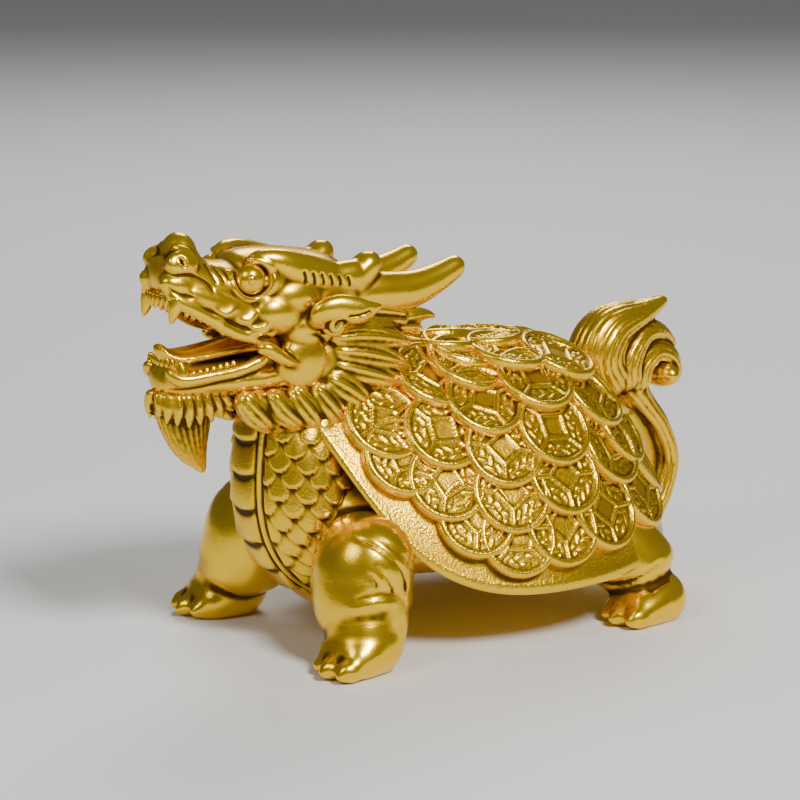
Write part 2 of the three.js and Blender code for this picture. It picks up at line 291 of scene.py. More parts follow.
def carved(points, faces, lines):
    """Grooves and ridges drawn in side view. Each line is its (y, z) points, half-width, depth and the least
    distance from the middle where it shows. A point moves in along its normal by depth times (1 - (d/w)^2)^2
    at distance d from the line, less towards the line's ends and where the skin turns away from the side."""
    normals = normals_of(points, faces)
    facing = np.clip((normals[:, 0] * np.sign(points[:, 0]) + 0.1) / 0.4, 0, 1)
    push = np.zeros(len(points))
    for drawn, width, depth, least in lines:
        path = curve(drawn, np.linspace(0, 1, 6 * len(drawn)))[0]
        low = path.min(0) - width
        high = path.max(0) + width
        side = points[:, 1:]
        near = np.flatnonzero(((side > low) & (side < high)).all(1) & (np.abs(points[:, 0]) > least))
        side = side[near][:, None]
        run = path[1:] - path[:-1]
        along = np.clip(((side - path[:-1]) * run).sum(-1) / (run**2).sum(-1), 0, 1)
        gap = np.linalg.norm(side - path[:-1] - along[..., None] * run, axis=-1)
        best = gap.argmin(1)
        row = np.arange(len(near))
        share = (best + along[row, best]) / len(run)
        loop = np.allclose(drawn[0], drawn[-1])
        fade = 1.0 if loop else np.clip(np.minimum(share, 1 - share) / 0.15, 0, 1)
        push[near] += depth * fade * (1 - np.clip(gap[row, best] / width, 0, 1) ** 2) ** 2 * facing[near]
    return points - normals * push[:, None]


# Rounds of smoothing, and how far the smoothed skin stands off a point that is half as sunk as can be.
HOLLOW_WIDTHS = ((5, 0.11), (26, 0.55))


def hollows(points, faces):
    """How sunk each point lies, 0.5 where flat: how far a skin smoothed at two widths stands outside it."""
    normals = normals_of(points, faces)
    smooth = points
    sunk = np.zeros(len(points))
    for rounds, reach in HOLLOW_WIDTHS:
        for _ in range(rounds):
            smooth = neighbour_mean(smooth, faces)
        sunk += 0.25 * ((smooth - points) * normals).sum(1) / reach
    return np.clip(0.5 + sunk, 0, 1)


def add_piece(name, points, faces, hollow=None, grain=0.0):
    """A piece of the casting: its mesh, its hollow and grain attributes and its paint."""
    mesh = bpy.data.meshes.new(name)
    mesh.from_pydata(((points + DRAWING_SHIFT) * MM).tolist(), [], faces.tolist())
    mesh.shade_smooth()
    hollow = hollows(points, faces) if hollow is None else hollow
    for label, values in (("hollow", hollow), ("grain", np.full(len(points), grain))):
        mesh.attributes.new(label, "FLOAT", "POINT").data.foreach_set("value", values)
    mesh.materials.append(gold_paint())
    piece = bpy.data.objects.new(name, mesh)
    bpy.context.collection.objects.link(piece)
    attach(piece, "root")
    return piece


# Finishes

def fill(node, **inputs):
    """Sets a node's inputs by name, each to a value or to the output of another node."""
    for name, value in inputs.items():
        socket = node.inputs[name.replace("_", " ")]
        if isinstance(value, bpy.types.NodeSocket):
            node.id_data.links.new(value, socket)
        else:
            socket.default_value = value


def add_node(material, kind, **inputs):
    """A node with its inputs filled, placed to the left of the nodes before it."""
    nodes = material.node_tree.nodes
    node = nodes.new(kind)
    node.location = (-200 * len(nodes), 0)
    fill(node, **inputs)
    return node


def new_material(name):
    """A material, its shader node and the output that gives a place on the piece."""
    material = bpy.data.materials.new(name)
    material.use_nodes = True
    where = add_node(material, "ShaderNodeTexCoord").outputs["Object"]
    return material, material.node_tree.nodes["Principled BSDF"], where


def reading(material, label):
    """The output that gives a piece's attribute."""
    node = add_node(material, "ShaderNodeAttribute")
    node.attribute_name = label
    return node.outputs["Fac"]


def ramp_of(material, value, stops):
    """A colour ramp over a value, from (position, colour) stops in rising order."""
    node = add_node(material, "ShaderNodeValToRGB", Fac=value)
    elements = node.color_ramp.elements
    for place, _ in stops[1:-1]:
        elements.new(place)
    for element, (place, colour) in zip(elements, stops):
        element.position = place
        element.color = (*colour, 1)
    return node.outputs["Color"]


MOTTLE = 0.22
EDGE_SHADE = (0.34, 0.4, 0.4)
GRAIN_HEIGHT = 0.00035


def gold_paint():
    """Gold paint over a brown wash: bright on ridges, brown in grooves, with a fine cast grain. The brown in
    the grooves is partly the wash and partly painted shade.
    """
    ready = bpy.data.materials.get("gold paint")
    if ready:
        return ready
    colours = bpy.context.scene.figure_colours
    paint, shader, where = new_material("gold paint")
    mottle = add_node(paint, "ShaderNodeTexNoise", Vector=where, Scale=420, Detail=4, Roughness=0.6)
    uneven = add_node(paint, "ShaderNodeMath")
    uneven.operation = "MULTIPLY_ADD"
    uneven.inputs[1].default_value = MOTTLE
    paint.node_tree.links.new(mottle.outputs["Fac"], uneven.inputs[0])
    paint.node_tree.links.new(reading(paint, "hollow"), uneven.inputs[2])
    sunk = uneven.outputs[0]
    edge = [k * g + 0.3 * h for k, g, h in zip(EDGE_SHADE, colours.gold, colours.hollow_brown)]
    # The ramp browns the skin by how sunk it lies: a brown wash, with painted shade in the grooves added to it.
    wash = ramp_of(paint, sunk, (
        (0.44, colours.worn_gold), (0.62, colours.gold), (0.76, edge), (0.92, colours.hollow_brown),
    ))
    dull = add_node(paint, "ShaderNodeMapRange", Value=sunk, From_Min=0.5, To_Min=0.24, To_Max=0.62)
    fine = add_node(paint, "ShaderNodeTexNoise", Vector=where, Scale=1500, Detail=3, Roughness=0.55)
    strength = add_node(paint, "ShaderNodeMapRange", Value=reading(paint, "grain"), To_Min=0.1, To_Max=0.55)
    bump = add_node(
        paint, "ShaderNodeBump", Height=fine.outputs["Fac"], Strength=strength.outputs["Result"],
        Distance=GRAIN_HEIGHT,
    )
    fill(shader, Base_Color=wash, Metallic=0.9, Roughness=dull.outputs["Result"], Normal=bump.outputs["Normal"])
    return paint


def floor_finish():
    """Pale matt paper with a very faint mottle."""
    colour = bpy.context.scene.figure_colours.floor
    paper, shader, where = new_material("studio floor")
    cloud = add_node(paper, "ShaderNodeTexNoise", Vector=where, Scale=3, Detail=2)
    mottle = ramp_of(paper, cloud.outputs["Fac"], ((0, [0.97 * c for c in colour]), (1, colour)))
    fill(shader, Base_Color=mottle, Roughness=0.75)
    return paper


# Belly and legs

def belly_and_legs():
    """The torso under the shell and the left legs, each a bent limb on a flat foot."""
    torso = limb([
        [0, -44, 29, 15, 12], [0, -28, 30, 27, 15], [0, 8, 30, 36, 17], [0, 40, 29, 32, 15.5],
        [0, 66, 27, 16, 9],
    ], 64, 64, 0.2, 0.2)
    front = [
        limb([
            [19, -26, 28, 11, 10], [23.6, -34.5, 25.5, 13, 12], [25, -37, 18.5, 12.6, 12.2],
            [27.6, -37.4, 12.5, 11.4, 11.8], [30, -37, 7.5, 9.4, 10.4],
        ], start=0.3, end=0.3),
        limb([
            [30, -30, 5.4, 8, 7.2], [30.4, -38, 6.4, 9, 8.6], [31.6, -44.6, 4.4, 8.8, 6.6],
            [32.6, -50, 2.6, 7.4, 4.6],
        ], start=0.3, end=0.2),
        # the back of the knee and the ankle
        blob([32.6, -36, 12], [5.6, 6.6, 9]),
        blob([29.6, -39.6, 10], [9, 9.4, 7.4]),
        *toes([32.9, -50.2, 2.8], 4.7, 0.10),
    ]
    rear = [
        limb([
            [21, 31, 24, 11, 11], [26, 37.5, 19, 11.4, 11], [31, 43, 13, 10, 10], [33.6, 45.6, 8, 9, 9.6],
        ], start=0.3, end=0.3),
        limb([
            [34.5, 53.5, 3.8, 7.4, 6.8], [35, 46, 4.8, 8.2, 7.2], [36, 39, 3.8, 8, 5.8],
            [36.8, 33, 2, 6.8, 4],
        ], start=0.3, end=0.2),
        *toes([36.8, 33.6, 2.8], 4.8, 0.07),
    ]
    return [torso, *both_sides(front + rear)]


def toes(place, spread, splay):
    """Three toes side by side, each with a nail at its front."""
    x, y, z = place
    parts = []
    for side in (-1, 0, 1):
        across, back = x + side * spread, y + abs(side) * 1.6
        parts.append(blob([across, back, z], [2.6, 3.9, 3]))
        parts.append(blob([across + splay * side, back - 3, z - 0.6], [1.6, 1.6, 1.6]))
    return parts


# Folds of the skin on the legs: (y, z) points, half-width, depth and least distance from the middle.
LEG_LINES = [
    ([(-40.6, 27.2), (-38.6, 24.3), (-36.9, 21.8), (-36.4, 19.6)], 0.7, 0.4, 20),
    ([(-42.3, 25.4), (-40.8, 23.3), (-40.2, 21.2)], 0.7, 0.35, 20),
    ([(-43.6, 33.5), (-38.5, 30.3), (-34.4, 25.7), (-32.1, 21.5), (-32, 18.6)], 0.9, 0.5, 18),
    ([(-38.2, 32.7), (-33.1, 28.5), (-29, 23.5), (-27.8, 19.3), (-28, 16.4)], 0.9, 0.45, 16),
    ([(-31.8, 28.5), (-27.8, 24.9), (-24.7, 20.8), (-24.1, 16.3)], 0.9, 0.4, 16),
    ([(-46, 17.8), (-43.4, 19.4), (-39, 19.9), (-34.5, 18.2), (-31.4, 14)], 1.5, 0.25, 20),
    ([(-47, 16.2), (-43.6, 17.6), (-39.4, 17.8), (-36, 16)], 1.8, -0.3, 20),
    ([(28.7, 7), (33.8, 10.3), (39.5, 13.5), (44.6, 16.3)], 1.1, 0.5, 20),
    ([(38.6, 8.6), (42.6, 10.2), (47.3, 11)], 1.2, 0.5, 20),
]


# Shell and coins

SHELL = {
    "half_width": 43.5, "front": 63, "back": 51.3, "middle": 14.2, "crown": 20.8, "top": 69.4,
    "flank": 15.1, "over_neck": 63, "over_tail": 19.6, "roundness": 2.62, "edge": 0.985, "neck_cut": 0.065,
    "rim_radius": 1.7, "rim_bulge": 0.018,
}


def shell_rim(angle):
    """The shell's rim at an angle from the left side towards the tail: an oval with longer reach to the
    front, lifted over the neck and a little over the tail by powers of the sine."""
    s = np.sin(angle)
    front = s < 0
    reach = np.where(front, SHELL["front"], SHELL["back"])
    end = np.where(front, SHELL["over_neck"], SHELL["over_tail"])
    height = SHELL["flank"] + (end - SHELL["flank"]) * np.abs(s) ** np.where(front, 3.3, 2.6)
    return np.stack([SHELL["half_width"] * np.cos(angle), SHELL["middle"] + reach * s, height], -1)


def shell_point(angle, level):
    """The shell's top at a level from 0 at the crown to 1 at the rim: height falls with a power of level."""
    rim = shell_rim(angle)
    level = np.asarray(level, float)
    return np.stack([
        rim[..., 0] * level,
        SHELL["crown"] + (rim[..., 1] - SHELL["crown"]) * level,
        SHELL["top"] - (SHELL["top"] - rim[..., 2]) * np.abs(level) ** SHELL["roundness"],
    ], -1)


def shell_edge(angle):
    """The level at which the shell ends: just short of the full oval, and less over the neck."""
    front = np.clip((-np.sin(angle) - 0.6) / 0.4, 0, 1)
    return SHELL["edge"] - SHELL["neck_cut"] * front**1.5


def shell_skin(around=240, along=150):
    """The dome, its rolled rim and an underside that ends inside the belly. The first part of the profile
    is dome, the next rolls under by half a turn, and the rest runs in to the middle."""
    dome, roll = 0.7, 0.14
    share, angle = polar_grid(along, around)
    rim = shell_point(angle, shell_edge(angle))
    turn = np.clip((share - dome) / roll, 0, 1) * np.pi
    inwards = np.clip((share - dome - roll) / (1 - dome - roll), 0, 1)
    out = 1 + SHELL["rim_bulge"] * np.sin(turn) - inwards
    under = np.stack([
        rim[..., 0] * out,
        SHELL["middle"] + (rim[..., 1] - SHELL["middle"]) * out,
        rim[..., 2] - SHELL["rim_radius"] * (1 - np.cos(turn)) + 3 * inwards,
    ], -1)
    top = shell_point(angle, share / dome * shell_edge(angle))
    return shut(np.where((share <= dome)[..., None], top, under))


# Coins as the angle in degrees and the level of the lowest point, and the pattern's turn in degrees.
FLANK_COINS = [
    (-60, 0.4, 20), (-12.6, 0.428, 10), (41.4, 0.55, 30),
    (-43.6, 0.515, 35), (0, 0.613, 0), (38.3, 0.714, 20), (68, 0.74, 0),
    (-55.6, 0.636, 10), (-27.7, 0.675, 0), (1, 0.767, 0), (45, 0.827, 45),
    (-58.9, 0.897, 28), (-40.9, 0.804, 28), (-19.4, 0.806, 45), (29.5, 0.847, 0), (60.5, 0.93, 20),
    (77, 0.87, 0), (-50, 0.932, 45), (-36.5, 0.913, 45), (0.5, 0.876, 45), (39.4, 0.954, 30),
    (-17.3, 0.901, 45), (14.7, 0.956, 45),
    (-27.2, 0.956, 45), (-3, 0.967, 45),
    (-15.8, 0.978, 0),
]
MIDDLE_COINS = [(-90, 0.4, 0), (90, 0.6, 0), (90, 0.95, 0)]
CROWN_TURN = 20
# How far a coin's lower edge stands off the shell and its upper edge lies under it, how much of the dome
# may bulge through it, how deep its wall goes and where its ground lies.
COIN_LIFT = 1.9
COIN_SINK = 0.6
COIN_BULGE = 0.35
COIN_ROOT = 2.9
COIN_GROUND = 0.65


def coin_places(coins, diameter):
    """Each coin's middle and its across, face and downhill directions. It lies like a roof tile, its upper
    edge under the shell and its lower edge lifted off it, and is raised where the dome would bulge through
    its face."""
    angle = np.radians([coin[0] for coin in coins])
    level = np.array([coin[1] for coin in coins])
    edge = shell_point(angle, level)
    down = edge - shell_point(angle, level - 0.02)
    round_ = shell_point(angle + 0.02, level) - shell_point(angle - 0.02, level)
    out = unit(np.cross(round_, down))
    out = out * np.sign(out[:, 2:])
    climb = np.arange(0, 1.2, 0.01)
    above = shell_point(angle[:, None] + 0 * climb, level[:, None] - climb)
    reached = np.linalg.norm(above - edge[:, None], axis=-1) >= diameter
    first = reached.argmax(1)
    upper = above[np.arange(len(coins)), first] - COIN_SINK * out
    edge = edge + COIN_LIFT * out
    lie = unit(edge - upper)
    across = unit(np.cross(out, lie))
    face = np.cross(lie, across)
    middle = edge - lie * diameter / 2
    bulge = ((above - middle[:, None]) * face[:, None]).sum(-1)
    bulge = np.where(np.arange(len(climb)) <= first[:, None], bulge, 0).max(1)
    middle = middle + face * np.maximum(bulge - COIN_BULGE, 0)[:, None]
    return middle, across, face, lie


def coin_relief(x, y, radius, height, seed):
    """A coin's face: a raised rim, a square frame in the middle, four spokes from its corners, and in each
    of the four fields two rows of short slanted strokes."""
    window, first_row, row_pitch, bar_pitch = 3.15, 4.1, 2, 2.9
    r = np.hypot(x, y)
    outwards = np.maximum(np.abs(x), np.abs(y))
    rim = step(radius - 1.75, radius - 1.35, r)
    square = 1 - step(0.28, 0.62, np.abs(outwards - window))
    spoke = (1 - step(0.25, 0.6, np.abs(np.abs(x) - np.abs(y)) / math.sqrt(2))) * (outwards > window - 0.05)
    tall = np.abs(y) >= np.abs(x)
    sideways = np.where(tall, x * np.sign(y), -y * np.sign(x))
    field = np.where(tall, np.sign(y), 2 * np.sign(x))
    row = np.floor((outwards - first_row) / row_pitch)
    offset = 0.5 * np.mod(row, 2)
    bar = np.floor(sideways / bar_pitch + 0.5 + offset)
    u = sideways - bar_pitch * (bar - offset)
    v = outwards - first_row - row_pitch * (row + 0.5)
    slant = 0.8 * np.sin(1.7 * seed + 2.3 * field + 3.7 * row + 5.3 * bar)
    stroke = 1 - step(0.14, 0.46, np.abs(v - slant * u) / np.sqrt(1 + slant**2))
    stroke = stroke * (1 - step(1, 1.3, np.abs(u)))
    room = (np.abs(sideways) < outwards - 1.6) & (r < radius - 2.3) & (row >= 0) & (row < 2)
    relief = np.maximum.reduce([rim, 0.72 * square, 0.72 * spoke, 0.55 * stroke * room])
    shoulder = 1 - 0.75 * step(radius - 0.6, radius, r)
    return height * relief * shoulder


def coin_forms(coins, places, diameter, height, cells):
    """Coins as one mesh. Each top is a square grid bent to a disc by x = p sqrt(1 - q^2/2) and
    y = q sqrt(1 - p^2/2), raised by the relief; rings carry its edge down to a point underneath."""
    radius = diameter / 2
    middle, across, face, lie = places
    line = np.linspace(-1, 1, cells + 1)
    p, q = np.meshgrid(line, line, indexing="ij")
    x = (p * np.sqrt(1 - q * q / 2) * radius).ravel()
    y = (q * np.sqrt(1 - p * p / 2) * radius).ravel()
    index = np.arange((cells + 1) ** 2).reshape(cells + 1, cells + 1)
    border = np.concatenate([index[:-1, 0], index[-1, :-1], index[:0:-1, -1], index[0, :0:-1]])
    rings = [(1.008, 0.35), (1.012, -0.5), (1, -1.3), (0.97, -1.7), (0.95, -COIN_ROOT)]
    walls = len(x) + np.arange(len(rings) * len(border)).reshape(len(rings), -1)
    size = len(x) + walls.size + 1

    turn = np.radians([coin[2] for coin in coins])[:, None]
    seed = np.arange(len(coins))[:, None]
    turned = x * np.cos(turn) + y * np.sin(turn), y * np.cos(turn) - x * np.sin(turn)
    top = coin_relief(*turned, radius, height, seed)
    sheet_x = np.concatenate([x, *[x[border] * k for k, _ in rings], [0]])
    sheet_y = np.concatenate([y, *[y[border] * k for k, _ in rings], [0]])
    wall = np.concatenate([*[np.full(len(border), z) for _, z in rings], [-COIN_ROOT]])
    sheet_z = np.hstack([COIN_GROUND + top, np.broadcast_to(wall, (len(coins), len(wall)))])
    points = (
        middle[:, None]
        + across[:, None] * sheet_x[None, :, None]
        - lie[:, None] * sheet_y[None, :, None]
        + face[:, None] * sheet_z[..., None]
    )

    a, b, c, d = index[:-1, :-1], index[1:, :-1], index[1:, 1:], index[:-1, 1:]
    flat = [np.stack([a, b, c], -1).reshape(-1, 3), np.stack([a, c, d], -1).reshape(-1, 3)]
    triangles = np.vstack([*flat, bands(np.vstack([border, walls]))[:, ::-1], fan(walls[-1], size - 1)])
    faces = (triangles[None] + size * np.arange(len(coins))[:, None, None]).reshape(-1, 3)
    return outward(points.reshape(-1, 3), faces)


def sheltered(points, places, diameter, reach, own=None):
    """How near each point lies to the wall of another coin that stands over it: 0 at the reach and beyond,
    1 at the wall, for points from 4 below the coin's middle to 0.55 above it."""
    result = np.zeros(len(points))
    for k, (middle, across, face, lie) in enumerate(zip(*places)):
        apart = points - middle
        height = apart @ face
        out = np.hypot(apart @ across, apart @ lie) - diameter / 2
        amount = np.clip(1 - out / reach, 0, 1) * ((height < 0.55) & (height > -4))
        if own is not None:
            amount = amount * (own != k)
        result = np.maximum(result, amount)
    return result


def all_coin_places(diameter):
    """Where the coins lie: the left flank's, their mirror images, and the middle line's with the crown's."""
    left = coin_places(FLANK_COINS, diameter)
    right = [part * [-1, 1, 1] for part in left]
    right[1] = -right[1]
    crown = ([0, SHELL["crown"] - 4, SHELL["top"] + 0.3], [1, 0, 0], [0, 0, 1], [0, -1, 0])
    middle = [np.vstack(pair) for pair in zip(coin_places(MIDDLE_COINS, diameter), crown)]
    return left, right, middle


# Neck and chest

def neck_skin(scale_width, plate_height, rows=200, columns=300):
    """The neck as an ellipse carried up a path, with its relief given by how far a point is round from the
    front and down from the top, in millimetres: plates in a band down the chest, a cord and a fine ridge
    along the band, then rows of scales like roof tiles with their tips down."""
    share = np.linspace(1, 0, rows)
    middle, sizes, across, upwards = sections([
        [0, -20, 17, 15.5, 12], [0, -29.5, 24.5, 16.2, 14.6], [0, -36.6, 34, 16, 16.4],
        [0, -37.4, 50, 15, 16.2], [0, -36, 64, 11.5, 14.5], [0, -34, 80, 9.5, 12],
    ], share)
    turn = np.linspace(-np.pi, np.pi, columns, endpoint=False)
    side = across[:, None] * np.sin(turn)[None, :, None]
    front = -upwards[:, None] * np.cos(turn)[None, :, None]
    outwards = side + front
    base = middle[:, None] + side * sizes[:, None, :1] + front * sizes[:, None, 1:]
    swell = opening(share, 0.08, 0.08)[:, None, None]
    round_step = np.linalg.norm(np.diff(base, axis=1, prepend=base[:, :1]), axis=-1)
    round_ = np.cumsum(round_step, axis=1)
    round_ = np.abs(round_ - round_[:, columns // 2: columns // 2 + 1])
    down_step = np.linalg.norm(np.diff(base, axis=0, prepend=base[:1]), axis=-1)
    down = np.cumsum(down_step, axis=0)
    relief = chest_relief(round_, down, scale_width, plate_height)
    points = middle[:, None] + (base - middle[:, None] + outwards * relief[..., None]) * swell
    return shut(points)


def chest_relief(round_, down, scale_width, plate_height):
    """Height of the neck's relief. A plate rises to its lower edge and drops; a scale is the lower half of
    an ellipse, highest at its tip, and the upper row lies over the lower one."""
    band = 4.8
    phase = np.mod((down + 1.2 * (round_ / band) ** 2 + 3) / plate_height, 1)
    plate = 0.8 + 1.5 * phase**0.7 * np.sqrt(1 - step(0.84, 1, phase))
    plate = plate * (1 - step(band - 0.4, band + 0.2, round_))
    cord = 1.3 * np.sqrt(np.clip(1 - ((round_ - band - 0.9) / 0.8) ** 2, 0, 1))
    ridge = 0.6 * np.sqrt(np.clip(1 - ((round_ - band - 2.1) / 0.4) ** 2, 0, 1))
    u = round_ - band - 2.6
    pitch = 0.55 * scale_width
    length = 2.0 * pitch
    row = np.floor(down / pitch)
    scale = np.zeros_like(u)
    for back in (0, 1):
        k = row - back
        column = np.floor(u / scale_width + 0.5 * np.mod(k, 2))
        centre = (column + 0.5 - 0.5 * np.mod(k, 2)) * scale_width
        t = (down - k * pitch) / length
        w = (u - centre) / (0.5 * scale_width)
        inside = (t**2.4 + np.abs(w) ** 2.2 < 0.97) & (u > -0.2)
        height = 0.35 + 1.15 * t - 0.6 * w**2
        scale = np.where(inside, height, scale)
    scale = scale * (1 - step(34, 42, round_))
    return np.maximum.reduce([plate, cord, ridge, scale])


# Head

def skull_forms():
    """The forms on the head's middle line: skull, muzzle, nose, forehead, jaw and tongue."""
    return [
        blob([0, -36, 82], [13, 17, 13]),
        limb([
            [0, -40, 86, 11, 9], [0, -54, 87.5, 9.8, 8.6], [0, -65, 91, 8.6, 6.4], [0, -74, 94.2, 7, 5.2],
            [0, -78.4, 94.4, 4.6, 3.6],
        ], start=0.2, end=0.1),
        blob([0, -71.5, 98.6], [5, 4.4, 5.8]),
        blob([0, -71, 95.4], [6.4, 5.6, 6]),
        limb([
            [0, -60, 93.6, 6.6, 4.2], [0, -50, 94.2, 9.4, 4.8], [0, -36, 90.6, 11.6, 6.4],
            [0, -26, 87, 9.6, 6],
        ], start=0.15, end=0.3),
        limb([
            [0, -36, 71, 12.5, 8], [0, -48, 69.2, 11.6, 5.2], [0, -62, 68.8, 10.2, 4.4],
            [0, -72, 69.6, 8.4, 4.6], [0, -78, 71.6, 5, 4.4],
        ], start=0.25, end=0.1),
        limb([
            [0, -50, 76, 6, 2.4], [0, -60, 75.6, 6, 2], [0, -70, 74.8, 5.4, 1.8], [0, -75.4, 75.4, 4, 1.5],
            [0, -78, 78.4, 2, 1],
        ], start=0.1, end=0.1, relief=strands(4, 0.7)),
    ]


def face_forms():
    """The forms on the left side of the head: lips, nostril, brow, cheeks, jaw, ear, horn and lip curls."""
    return [
        # side of the muzzle and the rolled edges of the lips
        limb([
            [5, -74, 91.2, 3.2, 3.4], [6.8, -67, 88.4, 3, 3.8], [8, -60, 85.2, 2.8, 3.8],
            [8.6, -54, 82.8, 2.8, 3.2],
        ]),
        limb([
            [4.8, -77.8, 92.2, 1.6, 2.2], [7.2, -74.6, 88.6, 1.4, 1.8], [8.5, -69, 85.3, 1.4, 1.8],
            [9.4, -63.5, 81.6, 1.4, 1.7], [10.1, -57.6, 79.3, 1.5, 1.6], [10.6, -53.5, 79.8, 1.4, 1.5],
            [10.4, -50.8, 82.2, 0.9, 0.9],
        ], along=72),
        limb([
            [3.8, -77.6, 73.4, 1.6, 1.5], [7, -75.4, 70.6, 1.6, 1.6], [8.8, -68, 71, 1.5, 1.6],
            [9.9, -60, 72, 1.5, 1.6], [10.8, -53, 74.6, 1.4, 1.6],
        ]),
        # lobe of the upper lip, nostril wing and the ball behind it
        blob([4.6, -73.2, 92.2], [3.3, 6.4, 3.4], -16),
        blob([4.6, -73.6, 97.4], [3.1, 4, 3.5]),
        blob([5.8, -71.9, 97.2], [1.8, 1.6, 1.6]),
        # the broad brow
        limb([
            [6.8, -57.2, 95.4, 1.7, 1.7], [8, -54.2, 97.2, 2.4, 2.4], [9.4, -49.8, 96.2, 3, 3.6],
            [10, -44, 93.6, 3.2, 4.6], [10.3, -36, 91, 3.2, 4.4], [10, -28, 88.8, 2.8, 3.6],
        ], start=0.08, end=0.2, along=72),
        # temple, cheeks, the jaw's corner and the curl at the corner of the mouth
        blob([8.8, -50, 84.4], [5, 7.6, 5.6]),
        blob([8.6, -45, 87.6], [5.4, 9, 6]),
        blob([9.4, -51, 91.6], [2.8, 3.4, 4]),
        blob([8.6, -36, 87], [5.2, 10, 6]),
        blob([9, -43.5, 80], [5, 6, 6]),
        blob([10.8, -44, 72], [3.2, 7.2, 7]),
        limb([
            [11.8, -57.8, 76.4, 1, 1], [13, -55.2, 76.8, 1.7, 1.8], [13.8, -51, 73.8, 1.6, 1.5],
            [14.1, -47.2, 72, 0.6, 0.4],
        ]),
        # ear: a curled leaf with a ball in its curl
        limb([
            [13.4, -41, 80.4, 1.8, 2.2], [15.6, -41.8, 84, 2.1, 3], [17.2, -37.8, 85.2, 2.2, 3.5],
            [18.8, -32.4, 84.4, 2, 3.1], [20.2, -27, 85.4, 0.4, 0.4],
        ], along=72, start=0.2, end=0.05),
        blob([15.4, -38.2, 80.9], [2.6, 3, 2.9]),
        # horn and its prong, with the mass that joins them to the brow
        limb([
            [10, -38, 90.4, 3.2, 4.4], [10.2, -32, 90.8, 3.6, 4.4], [10.5, -26, 91.6, 3.4, 4],
        ], start=0.3, end=0.3),
        limb([
            [7, -34, 86, 4.6, 5], [8.8, -24, 86.2, 4.6, 5.2], [9.8, -13, 86, 4.1, 4.8],
            [10, -4.4, 88.2, 3.4, 3.7], [10, 3.4, 91.6, 2.6, 2.6],
        ], start=0.15, end=0.08),
        limb([
            [9, -31, 88, 4.2, 4], [10, -26.5, 92.2, 3.8, 3.7], [10.6, -22.2, 95.8, 3, 3],
        ], start=0.2, end=0.3),
        # flame-shaped curls on the lip
        limb([[8.8, -68, 87, 0.9, 0.8], [9.9, -64.6, 85.6, 1.2, 1.2], [10.4, -61.8, 87.4, 0.4, 0.4]]),
        limb([[9.4, -62.4, 84.6, 0.9, 0.8], [10.6, -59.4, 83.6, 1.2, 1.2], [11.2, -56.8, 85.8, 0.4, 0.4]]),
        limb([[10.4, -59.4, 81.6, 0.8, 0.8], [11.5, -55.8, 81.4, 1.3, 1.3], [12.2, -52.8, 84.2, 0.4, 0.4]]),
    ]


def ring_line(centre, radius, start=0, turns=1, grow=0, count=14):
    """Points round a centre in side view, whose distance from it grows evenly with the turn."""
    share = np.linspace(0, 1, count)
    turn = np.radians(start) + 2 * np.pi * turns * share
    away = radius + grow * share
    return np.stack([centre[0] + away * np.cos(turn), centre[1] + away * np.sin(turn)], 1)


def brow_flutes():
    """Six short grooves side by side under the crest of the brow."""
    first = np.array([(-45, 94.4), (-44.4, 92.6), (-44.4, 91)])
    pitch = np.array([(2.4, -0.45), (2.4, -0.4), (2.4, -0.35)])
    return [(first + k * pitch, 0.7, 0.5, 6) for k in range(6)]


# Lines on the face: (y, z) points, half-width, depth and least distance from the middle.
FACE_LINES = [
    # groove and raised ring round the eye
    (ring_line((-57, 92.9), 3.7), 0.8, 0.35, 6),
    (ring_line((-57, 92.9), 4.7), 1.2, -0.6, 6),
    # wrinkles across the bridge of the muzzle
    ([(-67.4, 97.3), (-66.7, 94.8), (-66.1, 92.4)], 0.7, 0.4, 1.5),
    ([(-65.3, 96.5), (-64.3, 94.4), (-63.9, 92.4)], 0.7, 0.4, 1.5),
    ([(-63.3, 96), (-62.6, 94.2), (-62.4, 92.9)], 0.7, 0.35, 1.5),
    # nostril: its hole and the rim round it
    ([(-75, 98.4), (-74, 98.6)], 1.6, 2.2, 2.5),
    (ring_line((-73.8, 98), 3.3, -30, 0.7), 0.9, -0.6, 2.5),
    # creases on the upper lip and over its rolled edge
    ([(-79, 93.6), (-76, 91.2), (-71.5, 90)], 0.6, 0.3, 2),
    ([(-77.4, 95.4), (-72.4, 95.2), (-68.6, 93.2), (-67.2, 90.4)], 0.7, 0.45, 2),
    ([(-72, 88.2), (-67, 85.8), (-62.6, 83), (-57.8, 81.2), (-54, 81.8)], 0.7, 0.3, 4),
    ([(-79.7, 68.8), (-76.4, 68), (-71.6, 68.6), (-66.8, 69.4), (-61.3, 70), (-56, 71.8)], 0.8, 0.35, 4),
    # crease behind the jaw's corner and over the curl at the mouth
    (ring_line((-44, 72), 6.9, -120, 0.62), 0.8, 0.4, 8),
    ([(-57.4, 79), (-54.3, 79.3), (-51.2, 76.8), (-47.4, 73.6)], 0.6, 0.5, 8),
    # the ear's curl and hollow
    (ring_line((-38.2, 80.9), 0.7, 200, -1.2, 2.3), 0.6, 0.8, 10),
    ([(-37.2, 83.4), (-34, 83.6), (-30.4, 84.6)], 0.7, 0.7, 12),
    *brow_flutes(),
]


